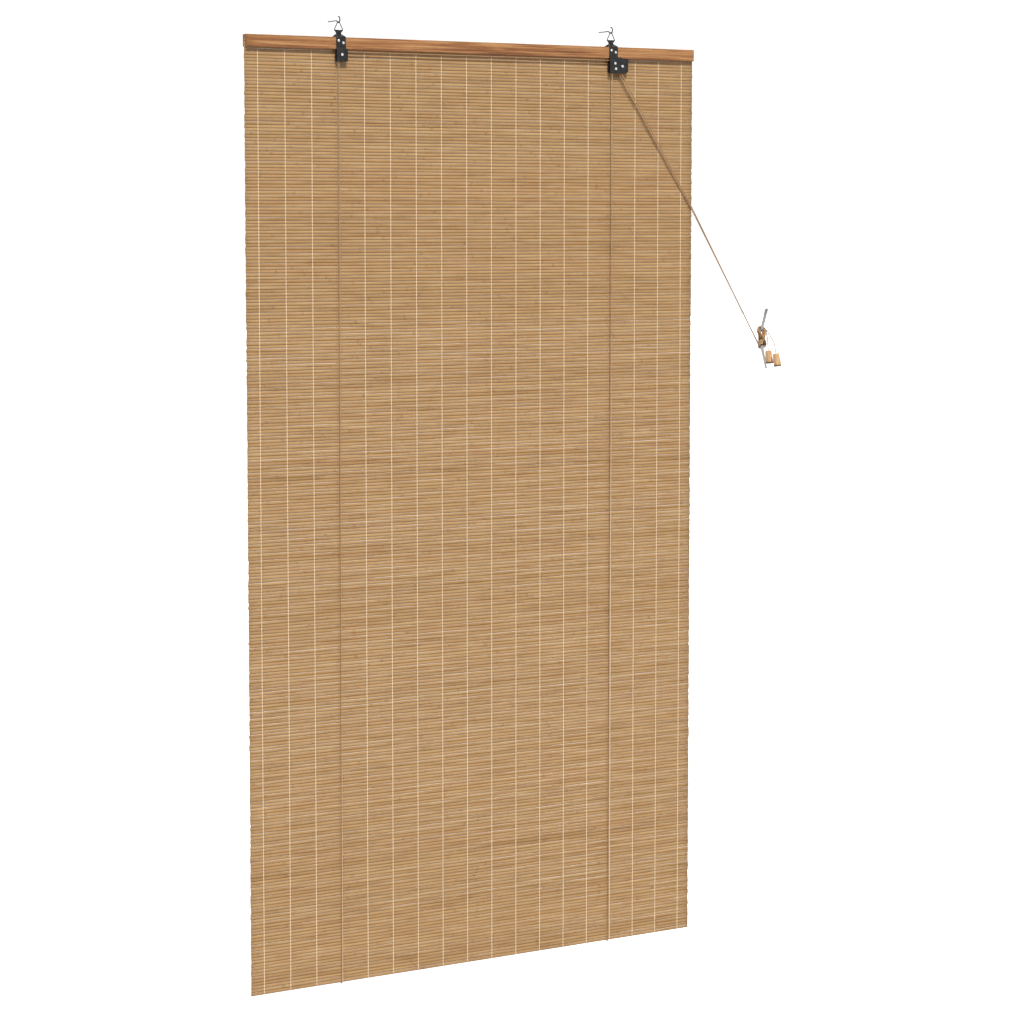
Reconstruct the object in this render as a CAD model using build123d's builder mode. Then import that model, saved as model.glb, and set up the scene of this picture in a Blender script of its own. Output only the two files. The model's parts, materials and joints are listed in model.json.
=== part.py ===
from build123d import *
import math
import os

# A bamboo roll-up blind: a mat of flat bamboo slats tied by warp threads, its top rows clamped
# between the two battens of a headrail. The rail hangs on two folded steel hangers, each on a wire
# link in a screw hook. The left hanger carries a pulley and the right one a cord lock. Two lift
# cords run down behind the mat, round its lower edge, up its front and out through the lock, and
# are tied off on a wall cleat.
#
# Millimetres. X runs along the rail, +Y points into the wall and +Z up. The origin is on the wall,
# midway between the two hook shanks.

os.makedirs("parts", exist_ok=True)

# ---- driving dimensions -------------------------------------------------------------------
mat_width = 1200.0
blind_drop = 2200.0  # top of the rail to the lower edge of the mat
slat_pitch = 7.43
slat_gap = 0.3
slat_thickness = 1.9
slat_chamfer = 0.5
mat_inset = 8.98  # top of the mat below the top of the rail
warp_count = 18
warp_pitch = 66.8
warp_width = 2.4
warp_thickness = 0.45

rail_length = 1195.0
rail_height = 28.0
rail_depth = 24.0
rail_edge_radius = 1.6

hanger_spacing = 730.0
wall_gap = 36.0  # wall to the middle of the mat
hook_wire = 2.8
hook_thread_length = 21.7
hook_shank_reach = 25.0
hook_drop = 5.5  # shank axis to the middle of the wire at the bottom of the crook
crook_radius = 7.2
crook_end_angle = 85.0
link_wire = 2.0
link_base = 23.32  # between the corners of the triangle before they are rounded
link_height = 24.6
link_corner_radius = 1.8
link_peak_radius = 3.0

strip_thickness = 1.2
eye_to_rail = 14.8  # hinge axis above the top of the rail
head_width = 17.0
neck_width = 12.3
plate_width = 24.0
back_plate_height = 39.0
plate_corner_radius = 1.5
joggle = 3.0
housing_depth = 6.6  # free space between the front and rear plates
pulley_housing_width = 28.0
pulley_housing_drop = 27.0  # below the rail
lock_width = 52.0
lock_drop = 35.0
lock_ear_rise = 3.0  # the lock plate's ear above the bottom of the rail
lock_corner_cut = 5.0

cord_diameter = 2.4
pulley_radius = 7.4
pulley_width = 4.6
pulley_drop = 11.6  # axle below the rail
roller_side_gap = 0.5
lower_roller_radius = 3.7
cam_radius = 8.0
cam_offset = 4.4
cam_rest_angle = 205.0
cam_tooth = 0.7
axle_radius = 1.5
rivet_head_radius = 3.1
rivet_head_height = 1.0

screw_radius = 1.25
screw_head_radius = 2.9
screw_head_height = 1.3
screw_depth = 8.0
front_screw_offsets = [(-6.0, 8.0), (6.0, 13.0)]  # across and below the top of the rail
back_screw_drop = 16.0
blind_hole_spare = 0.5  # a hole's depth past its screw's point
brad_radius = 0.8
brad_head_radius = 1.6
brad_length = 20.0
brad_pitch = 133.6
brad_count = 9

cleat_x = 833.0
cleat_drop = 753.5  # centre below the hook shanks
cleat_strip = 2.0
cleat_width = 8.5
cleat_foot = 26.0
cleat_rise = 9.5
cleat_root = 20.5
upper_horn = 74.0
lower_horn = 78.0
upper_tip_width = 7.0
lower_tip_width = 5.0
horn_reach = 31.0
cleat_screw_spacing = 14.0
cleat_screw_radius = 1.7
cleat_screw_neck_radius = 2.0  # plain part of the shank, in the strip
cleat_screw_head_radius = 3.2
cleat_screw_head_height = 1.6
cleat_screw_length = 16.0

knob_height = 33.0
knob_base_radius = 10.4
knob_top_radius = 8.0
knob_pocket_radius = 4.6
knob_pocket_depth = 13.0

# ---- clearances ---------------------------------------------------------------------------
running_clearance = 0.05  # shaft in a hole
soft_clearance = 0.3  # cord to a turning piece
hole_clearance = 0.05

# ---- places worked out from the above ------------------------------------------------------
hook_radius = hook_wire / 2
link_radius = link_wire / 2
cord_radius = cord_diameter / 2
mat_y = -wall_gap

peak_half_angle = math.atan2(link_base / 2, link_height)
peak_rounding = link_peak_radius * (1 / math.sin(peak_half_angle) - 1)
link_top_z = -hook_drop + hook_radius + link_radius + 0.05
eye_z = link_top_z - link_height + peak_rounding
rail_top = eye_z - eye_to_rail
rail_bottom = rail_top - rail_height

slat_width = slat_pitch - slat_gap
mat_top = rail_top - mat_inset
slat_count = round((blind_drop - mat_inset + slat_gap) / slat_pitch)
mat_bottom = mat_top - slat_count * slat_pitch + slat_gap
rail_rows = math.ceil((mat_top - rail_bottom) / slat_pitch)
mat_half = slat_thickness / 2 + warp_thickness
rail_front = -rail_depth / 2  # distances from the middle of the mat, + to the wall
rail_back = rail_depth / 2
brad_row_z = mat_top - slat_pitch - slat_width / 2
brad_xs = [(i - (brad_count - 1) / 2) * brad_pitch for i in range(brad_count)]
warp_xs = [(i - (warp_count - 1) / 2) * warp_pitch for i in range(warp_count)]

left_x = -hanger_spacing / 2
right_x = hanger_spacing / 2
eye_radius = link_radius + running_clearance
front_plate = rail_front - joggle  # inner face of the housings' front plates
rear_plate = front_plate + housing_depth
pulley_y = (front_plate + rear_plate) / 2
roller_width = housing_depth - 2 * roller_side_gap
plate_outer = front_plate - strip_thickness
rear_outer = rear_plate + strip_thickness

groove_radius = pulley_radius - cord_diameter
cord_run_radius = groove_radius + soft_clearance + cord_radius
left_cord_x = left_x - 5.0
left_axle = (left_cord_x + cord_run_radius, rail_bottom - pulley_drop)
upper_axle = (right_x + 3.0, rail_bottom - pulley_drop + 0.3)
right_cord_x = upper_axle[0] - cord_run_radius
lower_axle = (right_x + 5.0, upper_axle[1] - 13.0)
cam_pivot = (right_x + 23.7, upper_axle[1] - 6.6)
cord_spread = cord_radius + 0.08
long_cord_y = pulley_y + cord_spread
short_cord_y = pulley_y - cord_spread


def at(x, y, z):
    """A point given by its distance y from the middle of the mat, + to the wall."""
    return (x, mat_y + y, z)


def save(part, name):
    part.label = name
    export_step(part, f"parts/{name}.step")


def facing(y):
    """A plane seen from the room, at distance y from the middle of the mat."""
    return Plane.XZ.offset(-(mat_y + y))


# ---- mat ----------------------------------------------------------------------------------
def slat_sections(rows):
    """Draws the chamfered end section of each slat in rows."""
    half_t = slat_thickness / 2
    half_w = slat_width / 2
    inner_t = half_t - slat_chamfer
    inner_w = half_w - slat_chamfer
    corners = [
        (-half_t, -inner_w), (-inner_t, -half_w), (inner_t, -half_w), (half_t, -inner_w),
        (half_t, inner_w), (inner_t, half_w), (-inner_t, half_w), (-half_t, inner_w),
    ]
    with Locations(*[(mat_y, mat_top - i * slat_pitch - half_w) for i in rows]):
        Polygon(*corners, align=None)


with BuildPart() as bamboo_slats:
    with BuildSketch(Plane.YZ.offset(-mat_width / 2)):
        slat_sections(range(rail_rows))
    extrude(amount=mat_width)
    with BuildSketch(facing(-mat_half)):
        with Locations(*[(x, brad_row_z) for x in brad_xs]):
            Circle(brad_radius + hole_clearance)
    extrude(amount=-2 * mat_half, mode=Mode.SUBTRACT)
    with BuildSketch(Plane.YZ.offset(-mat_width / 2)):
        slat_sections(range(rail_rows, slat_count))
    extrude(amount=mat_width)
save(bamboo_slats.part, "bamboo_slats")

with BuildPart() as warp_threads:
    for thread_y in (-mat_half, mat_half - warp_thickness):
        with BuildSketch(facing(thread_y)):
            with Locations(*[(x, (mat_top + mat_bottom) / 2) for x in warp_xs]):
                Rectangle(warp_width, mat_top - mat_bottom)
        extrude(amount=-warp_thickness)
save(warp_threads.part, "warp_threads")


# ---- headrail -----------------------------------------------------------------------------
front_screws = [
    (hanger_x + dx, rail_top - dz) for hanger_x in (left_x, right_x) for dx, dz in front_screw_offsets
]
back_screws = [(hanger_x, rail_top - back_screw_drop) for hanger_x in (left_x, right_x)]


def batten(name, inner, outer, screws):
    """One half of the rail: a strip of wood with its outer long edges rounded."""
    depth = outer - inner
    outward = 1 if depth < 0 else -1
    with BuildPart() as strip:
        with BuildSketch(facing(inner)):
            with Locations((0, (rail_top + rail_bottom) / 2)):
                Rectangle(rail_length, rail_height)
        extrude(amount=-depth)
        rounded = strip.edges().filter_by(Axis.X)
        rounded = rounded.sort_by(Axis.Y)[:2] if outward > 0 else rounded.sort_by(Axis.Y)[-2:]
        fillet(rounded, rail_edge_radius)
        with BuildSketch(facing(outer)):
            with Locations(*screws):
                Circle(screw_radius + hole_clearance)
        extrude(amount=-outward * (screw_depth + blind_hole_spare), mode=Mode.SUBTRACT)
        if outward > 0:
            with BuildSketch(facing(inner)):
                with Locations(*[(x, brad_row_z) for x in brad_xs]):
                    Circle(brad_radius + hole_clearance)
            extrude(amount=brad_length - rail_back - mat_half + blind_hole_spare, mode=Mode.SUBTRACT)
        else:
            with BuildSketch(facing(outer)):
                with Locations(*[(x, brad_row_z) for x in brad_xs]):
                    Circle(brad_radius + hole_clearance)
            extrude(amount=depth, mode=Mode.SUBTRACT)
            with BuildSketch(facing(outer)):
                with Locations(*[(x, brad_row_z) for x in brad_xs]):
                    Circle(brad_head_radius + hole_clearance)
            extrude(amount=brad_head_radius, mode=Mode.SUBTRACT)
    save(strip.part, name)


batten("front_batten", -mat_half, rail_front, front_screws)
batten("back_batten", mat_half, rail_back, back_screws)

with BuildPart() as rail_brads:
    with BuildSketch(facing(rail_back)):
        with Locations(*[(x, brad_row_z) for x in brad_xs]):
            Circle(brad_head_radius)
    extrude(amount=brad_head_radius)
    with BuildSketch(facing(rail_back)):
        with Locations(*[(x, brad_row_z) for x in brad_xs]):
            Circle(brad_radius)
    extrude(amount=brad_length)
save(rail_brads.part, "rail_brads")


# ---- wall hooks and links -----------------------------------------------------------------
crook_z = crook_radius - hook_drop
dip_y = -hook_shank_reach
dip_distance = math.hypot(dip_y - mat_y, crook_z)
dip_angle = math.atan2(-crook_z, dip_y - mat_y) - math.acos(crook_radius / dip_distance)
crook_start = (
    mat_y + crook_radius * math.cos(dip_angle),
    crook_z + crook_radius * math.sin(dip_angle),
)


def wall_hook(name, x):
    """A screw hook: pointed shank in the wall, a dip, and a round crook open at the top."""
    with BuildPart() as hook:
        with BuildLine(Plane.YZ.offset(x)) as route:
            FilletPolyline((hook_thread_length - 5.0, 0), (dip_y, 0), crook_start, radius=6.0)
            start = math.degrees(dip_angle)
            CenterArc((mat_y, crook_z), crook_radius, start, crook_end_angle - 360 - start)
        with BuildSketch(Plane(origin=(x, hook_thread_length - 5.0, 0), z_dir=(0, -1, 0))):
            Circle(hook_radius)
        sweep()
        with Locations(Location((x, hook_thread_length - 2.5, 0), (-90, 0, 0))):
            Cone(hook_radius, 0.3, 5.0)
        tip = math.radians(crook_end_angle)
        tip_y = mat_y + crook_radius * math.cos(tip)
        with Locations((x, tip_y, crook_z + crook_radius * math.sin(tip))):
            Sphere(hook_radius)
    save(hook.part, name)


def hanging_link(name, x):
    """A triangular wire link: its peak rests in the hook and its base is the hinge of a hanger."""
    with BuildPart() as link:
        with BuildLine(Plane.XZ.offset(wall_gap)) as route:
            FilletPolyline(
                (x - link_base / 2, eye_z),
                (x, eye_z + link_height),
                (x + link_base / 2, eye_z),
                radius=[link_corner_radius, link_peak_radius, link_corner_radius],
                close=True,
            )
        with BuildSketch(Plane(origin=route.line @ 0, z_dir=route.line % 0)):
            Circle(link_radius)
        sweep()
    save(link.part, name)


wall_hook("left_wall_hook", left_x)
wall_hook("right_wall_hook", right_x)
hanging_link("left_link", left_x)
hanging_link("right_link", right_x)


# ---- hangers ------------------------------------------------------------------------------
head_bottom = eye_z - 1.0
neck_top = eye_z - 5.0
neck_bottom = eye_z - 7.6
shoulder_z = rail_top + 1.2
pinch_z = eye_z - 3.4
fold_gap = 0.1  # half of the gap between the two legs at the neck
eye_lean = math.asin(eye_radius / math.hypot(pinch_z - eye_z, fold_gap)) - math.atan2(
    fold_gap, eye_z - pinch_z
)
eye_side = eye_radius * math.cos(eye_lean)
eye_foot = eye_z - eye_radius * math.sin(eye_lean)


def folded_strip(x, front_end, back_end):
    """The strip as folded, before its outline is cut: up the front, round the link, down the back."""
    front = [
        (front_plate, front_end),
        (front_plate, rail_bottom + 0.7),
        (rail_front, rail_bottom + 4.5),
        (rail_front, rail_top + 0.5),
        (-fold_gap, neck_bottom),
        (-fold_gap, pinch_z),
        (-eye_side, eye_foot),
    ]
    back = [
        (eye_side, eye_foot),
        (fold_gap, pinch_z),
        (fold_gap, neck_bottom),
        (rail_back, rail_top + 0.5),
        (rail_back, back_end),
    ]
    with BuildPart() as strip:
        with BuildSketch(Plane.YZ.offset(x - lock_width)):
            with BuildLine():
                FilletPolyline(*[(mat_y + y, z) for y, z in front], radius=[0.8, 2.0, 0.4, 2.0, 2.0])
                lean = math.degrees(eye_lean)
                CenterArc((mat_y, eye_z), eye_radius, 180 + lean, -(180 + 2 * lean))
                FilletPolyline(*[(mat_y + y, z) for y, z in back], radius=[2.0, 2.0, 0.4])
                offset(amount=strip_thickness, side=Side.RIGHT)
            make_face()
        extrude(amount=2 * lock_width)
    return strip.part


def hanger_outline(x, lower_corners):
    """The strip seen from the front: head, waisted neck, shoulders, then the corners given."""
    head = head_width / 2
    neck = neck_width / 2
    plate = plate_width / 2
    half = [
        (head, eye_z + 5.0),
        (head, head_bottom),
        (neck, neck_top),
        (neck, neck_bottom),
        (plate, shoulder_z),
    ]
    right = [(x + dx, z) for dx, z in half]
    left = [(x - dx, z) for dx, z in reversed(half)]
    Polygon(*right, *lower_corners, *left, align=None)


def hanger(name, x, lower_corners, axles, cord_hole_x):
    """A folded hanger: its front leg runs down into the front plate of a housing."""
    half_plate = plate_width / 2
    front_end = min(z for _, z in lower_corners)
    back_end = rail_top - back_plate_height
    back_corners = [(x + half_plate, back_end), (x - half_plate, back_end)]
    with BuildPart() as outline:
        with BuildSketch(facing(0)) as front_shape:
            hanger_outline(x, lower_corners)
            fillet(front_shape.vertices().group_by(Axis.Y)[0], plate_corner_radius)
        extrude(amount=2 * rail_depth)
        with BuildSketch(facing(0)) as back_shape:
            hanger_outline(x, back_corners)
            fillet(back_shape.vertices().group_by(Axis.Y)[0], plate_corner_radius)
        extrude(amount=-2 * rail_depth)
    with BuildPart() as strip:
        add(folded_strip(x, front_end - 1.0, back_end))
        add(outline.part, mode=Mode.INTERSECT)
        with BuildSketch(facing(-rail_depth)):
            with Locations(*[(x + dx, rail_top - dz) for dx, dz in front_screw_offsets]):
                Circle(screw_radius + hole_clearance)
            with Locations(*axles):
                Circle(axle_radius + hole_clearance)
        extrude(amount=-rail_depth, mode=Mode.SUBTRACT)
        with BuildSketch(facing(rail_depth)):
            with Locations((x, rail_top - back_screw_drop)):
                Circle(screw_radius + hole_clearance)
            with Locations((cord_hole_x, cord_hole_z)):
                Circle(cord_radius + soft_clearance)
        extrude(amount=rail_depth, mode=Mode.SUBTRACT)
    save(strip.part, name)


cord_hole_z = rail_bottom - 5.5
left_low = rail_bottom - pulley_housing_drop
right_low = rail_bottom - lock_drop
left_edge = left_x - plate_width / 2
pulley_right = left_edge + pulley_housing_width
lock_left = right_x - plate_width / 2
lock_right = lock_left + lock_width
right_edge = right_x + plate_width / 2
ear_z = rail_bottom + lock_ear_rise

left_lower_corners = [
    (left_x + plate_width / 2, rail_bottom + 2.5),
    (pulley_right, rail_bottom + 0.5),
    (pulley_right, left_low),
    (left_edge, left_low),
]
right_lower_corners = [
    (right_edge, ear_z - 1.5),
    (right_edge + 4.0, ear_z),
    (right_edge + 10.0, ear_z),
    (right_edge + 12.0, ear_z - 2.5),
    (lock_right, ear_z - 3.5),
    (lock_right, right_low + lock_corner_cut),
    (lock_right - lock_corner_cut, right_low),
    (lock_left, right_low),
]
lock_axles = [upper_axle, lower_axle, cam_pivot]
hanger("left_hanger", left_x, left_lower_corners, [left_axle], left_cord_x)
hanger("right_hanger", right_x, right_lower_corners, lock_axles, right_cord_x)


def housing_rear(name, left, right, bottom, axles):
    """The rear plate of a housing, with a top flange that bears on the front plate."""
    flange_top = rail_bottom - 0.1
    with BuildPart() as plate:
        with BuildSketch(facing(rear_plate)) as outline:
            with Locations(((left + right) / 2, (flange_top + bottom) / 2)):
                Rectangle(right - left, flange_top - bottom)
            fillet(outline.vertices().group_by(Axis.Y)[0], 3.0)
        extrude(amount=-strip_thickness)
        with BuildSketch(facing(rear_plate)):
            with Locations(((left + right) / 2, flange_top - strip_thickness / 2)):
                Rectangle(right - left, strip_thickness)
        extrude(amount=housing_depth)
        with BuildSketch(facing(rear_plate)):
            with Locations(*axles):
                Circle(axle_radius + hole_clearance)
        extrude(amount=-strip_thickness, mode=Mode.SUBTRACT)
    save(plate.part, name)


housing_rear("left_rear_plate", left_edge, pulley_right, left_low, [left_axle])
housing_rear("lock_rear_plate", lock_left, lock_right, right_low, lock_axles)


# ---- rivets and screws --------------------------------------------------------------------
def rivets(name, axles):
    """Rivets through both plates of a housing, each with a low domed head at either end."""
    with BuildPart() as group:
        with BuildSketch(facing(plate_outer)):
            with Locations(*axles):
                Circle(axle_radius)
        extrude(amount=-(rear_outer - plate_outer))
        for face_y, outward in ((plate_outer, 1), (rear_outer, -1)):
            with BuildSketch(facing(face_y)):
                with Locations(*axles):
                    Circle(rivet_head_radius)
            extrude(amount=outward * rivet_head_height)
            rims = group.edges().filter_by(GeomType.CIRCLE).group_by(Axis.Y)
            fillet(rims[0] if outward > 0 else rims[-1], rivet_head_height * 0.8)
    save(group.part, name)


def screws(name, face_y, places):
    """Pan-head screws driven into the rail through a hanger's leg."""
    outward = 1 if face_y < 0 else -1
    shank = screw_depth + strip_thickness
    with BuildPart() as group:
        with BuildSketch(facing(face_y)):
            with Locations(*places):
                Circle(screw_radius)
        extrude(amount=-outward * shank)
        with BuildSketch(facing(face_y)):
            with Locations(*places):
                Circle(screw_head_radius)
        extrude(amount=outward * screw_head_height)
        rims = group.edges().filter_by(GeomType.CIRCLE).group_by(Axis.Y)
        fillet(rims[0] if outward > 0 else rims[-1], screw_head_height * 0.75)
    save(group.part, name)


rivets("left_pulley_axle", [left_axle])
rivets("lock_rivets", lock_axles)
screws("front_screws", rail_front - strip_thickness, front_screws)
screws("back_screws", rail_back + strip_thickness, back_screws)


# ---- turning pieces -----------------------------------------------------------------------
with BuildPart() as left_pulley:
    axle_x, axle_z = left_axle
    with BuildSketch(Plane.XY.offset(axle_z)):
        with BuildLine():
            half = pulley_width / 2
            bore = axle_radius + running_clearance
            Polyline(
                (axle_x + bore, mat_y + pulley_y - half),
                (axle_x + pulley_radius, mat_y + pulley_y - half),
                (axle_x + pulley_radius, mat_y + pulley_y - half + 0.4),
                (axle_x + groove_radius, mat_y + pulley_y - 1.0),
                (axle_x + groove_radius, mat_y + pulley_y + 1.0),
                (axle_x + pulley_radius, mat_y + pulley_y + half - 0.4),
                (axle_x + pulley_radius, mat_y + pulley_y + half),
                (axle_x + bore, mat_y + pulley_y + half),
                close=True,
            )
        make_face()
    revolve(axis=Axis((axle_x, mat_y, axle_z), (0, 1, 0)))
save(left_pulley.part, "left_pulley")


def roller(name, axle, radius):
    """A plain roller on a rivet, its rims chamfered."""
    with BuildPart() as wheel:
        with BuildSketch(facing(pulley_y - roller_width / 2)):
            with Locations(axle):
                Circle(radius)
        extrude(amount=-roller_width)
        chamfer(wheel.edges().filter_by(GeomType.CIRCLE), 0.3)
        with BuildSketch(facing(pulley_y - roller_width / 2)):
            with Locations(axle):
                Circle(axle_radius + running_clearance)
        extrude(amount=-roller_width, mode=Mode.SUBTRACT)
    save(wheel.part, name)


roller("lock_upper_roller", upper_axle, groove_radius)
roller("lock_lower_roller", lower_axle, lower_roller_radius)

cam_centre = (
    cam_pivot[0] + cam_offset * math.cos(math.radians(cam_rest_angle)),
    cam_pivot[1] + cam_offset * math.sin(math.radians(cam_rest_angle)),
)
with BuildPart() as lock_cam:
    with BuildSketch(facing(pulley_y - roller_width / 2)):
        with Locations(cam_pivot):
            Circle(5.0)
        with Locations(cam_centre):
            Circle(cam_radius - cam_tooth)
        make_hull()
        with Locations(cam_centre):
            with PolarLocations(cam_radius - cam_tooth - 0.3, 9, 140, 110):
                Polygon((-0.6, -0.9), (1.0, 0), (-0.6, 0.9), align=None)
        with Locations(cam_pivot):
            Circle(axle_radius + running_clearance, mode=Mode.SUBTRACT)
    extrude(amount=-roller_width)
save(lock_cam.part, "lock_cam")


# ---- cleat --------------------------------------------------------------------------------
def cleat_body(extra):
    """The cleat's strip bent from one piece, grown by extra on every side."""
    half = cleat_strip / 2
    route_points = [
        (-horn_reach, -cleat_drop + upper_horn),
        (-cleat_rise, -cleat_drop + cleat_root),
        (-half, -cleat_drop + cleat_foot / 2),
        (-half, -cleat_drop - cleat_foot / 2),
        (-cleat_rise, -cleat_drop - cleat_root),
        (-horn_reach, -cleat_drop - lower_horn),
    ]
    with BuildPart() as body:
        with BuildSketch(Plane.YZ.offset(cleat_x - cleat_width / 2 - extra)):
            with BuildLine() as route:
                FilletPolyline(*route_points, radius=[5.0, 2.5, 2.5, 5.0])
                offset(amount=half + extra, side=Side.BOTH)
            make_face()
        extrude(amount=cleat_width + 2 * extra)
    return body.part


cleat_screw_zs = [-cleat_drop + cleat_screw_spacing / 2, -cleat_drop - cleat_screw_spacing / 2]
with BuildPart() as cleat:
    add(cleat_body(0))
    with BuildSketch(Plane.XZ) as outline:
        with Locations((cleat_x, -cleat_drop)):
            Polygon(
                (cleat_width / 2, cleat_root),
                (upper_tip_width / 2, upper_horn),
                (-upper_tip_width / 2, upper_horn),
                (-cleat_width / 2, cleat_root),
                (-cleat_width / 2, -cleat_root),
                (-lower_tip_width / 2, -lower_horn),
                (lower_tip_width / 2, -lower_horn),
                (cleat_width / 2, -cleat_root),
                align=None,
            )
        fillet(outline.vertices().group_by(Axis.Y)[-1], upper_tip_width * 0.4)
        fillet(outline.vertices().group_by(Axis.Y)[0], lower_tip_width * 0.4)
    extrude(amount=2 * horn_reach, mode=Mode.INTERSECT)
    with BuildSketch(Plane.XZ):
        with Locations(*[(cleat_x, z) for z in cleat_screw_zs]):
            Circle(cleat_screw_neck_radius + 2 * hole_clearance)
    extrude(amount=horn_reach, mode=Mode.SUBTRACT)
save(cleat.part, "cleat")

with BuildPart() as cleat_screws:
    with BuildSketch(Plane.XZ.offset(cleat_strip)):
        with Locations(*[(cleat_x, z) for z in cleat_screw_zs]):
            Circle(cleat_screw_head_radius)
    extrude(amount=cleat_screw_head_height)
    rims = cleat_screws.edges().filter_by(GeomType.CIRCLE).group_by(Axis.Y)[0]
    fillet(rims, cleat_screw_head_height * 0.7)
    with BuildSketch(Plane.XZ):
        with Locations(*[(cleat_x, z) for z in cleat_screw_zs]):
            Circle(cleat_screw_neck_radius)
    extrude(amount=cleat_strip)
    with BuildSketch(Plane.XZ):
        with Locations(*[(cleat_x, z) for z in cleat_screw_zs]):
            Circle(cleat_screw_radius)
    extrude(amount=-cleat_screw_length)
save(cleat_screws.part, "cleat_screws")


# ---- cords --------------------------------------------------------------------------------
def corner_radii(points, given):
    """A radius for each corner: the one given for a wheel or edge, or as large as its runs allow."""
    radii = []
    for i in range(1, len(points) - 1):
        before = Vector(points[i]) - Vector(points[i - 1])
        after = Vector(points[i + 1]) - Vector(points[i])
        turn = math.radians(before.get_angle(after))
        largest = 0.45 * min(before.length, after.length) / math.tan(turn / 2)
        radii.append(given.get(i, largest))
    return radii


def cord_tube(name, points, given, cutters=()):
    """A cord as a round tube along straight runs joined by tangent arcs."""
    with BuildPart() as tube:
        with BuildLine() as route:
            if len(points) > 2:
                radii = corner_radii(points, given)
                FilletPolyline(*points, radius=radii)
            else:
                radii = []
                Line(*points)
        with BuildSketch(Plane(origin=route.line @ 0, z_dir=route.line % 0)):
            Circle(cord_radius)
        sweep()
        length = sum(edge.length for edge in route.edges())
        section_volume = math.pi * cord_radius**2 * length
        print(f"{name}: length {length:.1f}, radii {[round(r, 1) for r in radii]}", end=" ")
        print(f"volume {tube.part.volume / section_volume:.4f} of section times length")
        for cutter in cutters:
            add(cutter, mode=Mode.SUBTRACT)
    save(tube.part, name)


knot_radius = 2.8
knot_length = 4.5
knot_y = rail_back + strip_thickness + soft_clearance
hem_z = mat_bottom - cord_radius - 0.7
hem_y = mat_half + cord_radius + 0.4
hem_radius = 2.6
hole_turn_y = rail_back - 3.0
pinch = (upper_axle[0] + 7.5, upper_axle[1] - 15.2)
pinch_radius = 6.0
guide_pin_radius = 0.9
guide_corner = (upper_axle[0] + 17.3, upper_axle[1] - 20.3)
guide_turn_radius = guide_pin_radius + soft_clearance + cord_radius
lock_exit_z = right_low - 1.0
edge_turn_x = mat_width / 2 + cord_radius
edge_turn_y = -mat_half - cord_radius - soft_clearance
edge_turn_radius = 12.0


def by_cleat(x, y, z):
    """A point given by its place across, out from the wall and up from the middle of the cleat."""
    return (cleat_x + x, -y, -cleat_drop + z)


long_arrival = by_cleat(-7.0, 13.5, -21.0)
short_arrival = by_cleat(-6.0, 17.5, -20.0)


def mat_edge(start, end):
    """Where a pull cord bends back at the edge of the mat on its way from start to end."""
    share = (edge_turn_x - start[0]) / (end[0] - start[0])
    return at(edge_turn_x, edge_turn_y, start[2] + share * (end[2] - start[2]))


def exit_towards(corner, arrival):
    """Where the straight line from a corner inside the lock to the mat's edge leaves the lock."""
    share = (corner[2] - lock_exit_z) / (corner[2] - arrival[2])
    return tuple(c + share * (a - c) for c, a in zip(corner, arrival))


long_pinch = at(pinch[0], long_cord_y, pinch[1])
long_edge = mat_edge(long_pinch, long_arrival)
long_exit = exit_towards(long_pinch, long_edge)
long_cord_points = [
    at(left_cord_x, knot_y, cord_hole_z),
    at(left_cord_x, hole_turn_y, cord_hole_z),
    at(left_cord_x, hem_y, hem_z),
    at(left_cord_x, -hem_y, hem_z),
    at(left_cord_x, pulley_y, left_axle[1] + cord_run_radius),
    at(upper_axle[0] + cord_run_radius, long_cord_y, upper_axle[1] + cord_run_radius),
    long_pinch,
    long_exit,
]
wheel_radii = {1: 2.0, 2: hem_radius, 3: hem_radius, 4: cord_run_radius, 5: cord_run_radius, 6: pinch_radius}
cord_tube("long_lift_cord", long_cord_points, wheel_radii)

short_guide = at(guide_corner[0], short_cord_y, guide_corner[1])
short_edge = mat_edge(short_guide, short_arrival)
short_exit = exit_towards(short_guide, short_edge)
short_cord_points = [
    at(right_cord_x, knot_y, cord_hole_z),
    at(right_cord_x, hole_turn_y, cord_hole_z),
    at(right_cord_x, hem_y, hem_z),
    at(right_cord_x, -hem_y, hem_z),
    at(right_cord_x, short_cord_y, upper_axle[1] + cord_run_radius),
    at(upper_axle[0] + cord_run_radius, short_cord_y, upper_axle[1] + cord_run_radius),
    at(pinch[0], short_cord_y, pinch[1]),
    short_guide,
    short_exit,
]
cord_tube("short_lift_cord", short_cord_points, wheel_radii | {7: guide_turn_radius})

with BuildPart() as lift_cord_knots:
    with BuildSketch(facing(knot_y)):
        with Locations((left_cord_x, cord_hole_z), (right_cord_x, cord_hole_z)):
            Circle(knot_radius)
    extrude(amount=-knot_length)
    fillet(lift_cord_knots.edges().filter_by(GeomType.CIRCLE), 1.2)
save(lift_cord_knots.part, "lift_cord_knots")

into_guide = Vector(short_guide) - Vector(at(pinch[0], short_cord_y, pinch[1]))
out_of_guide = Vector(short_exit) - Vector(short_guide)
guide_turn = math.radians(into_guide.get_angle(out_of_guide))
to_pin = (out_of_guide.normalized() - into_guide.normalized()).normalized()
pin_centre = Vector(short_guide) + to_pin * (guide_turn_radius / math.cos(guide_turn / 2))
with BuildPart() as lock_guide_pin:
    with BuildSketch(facing(front_plate)):
        with Locations((pin_centre.X, pin_centre.Z)):
            Circle(guide_pin_radius)
    extrude(amount=-housing_depth)
save(lock_guide_pin.part, "lock_guide_pin")

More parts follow.
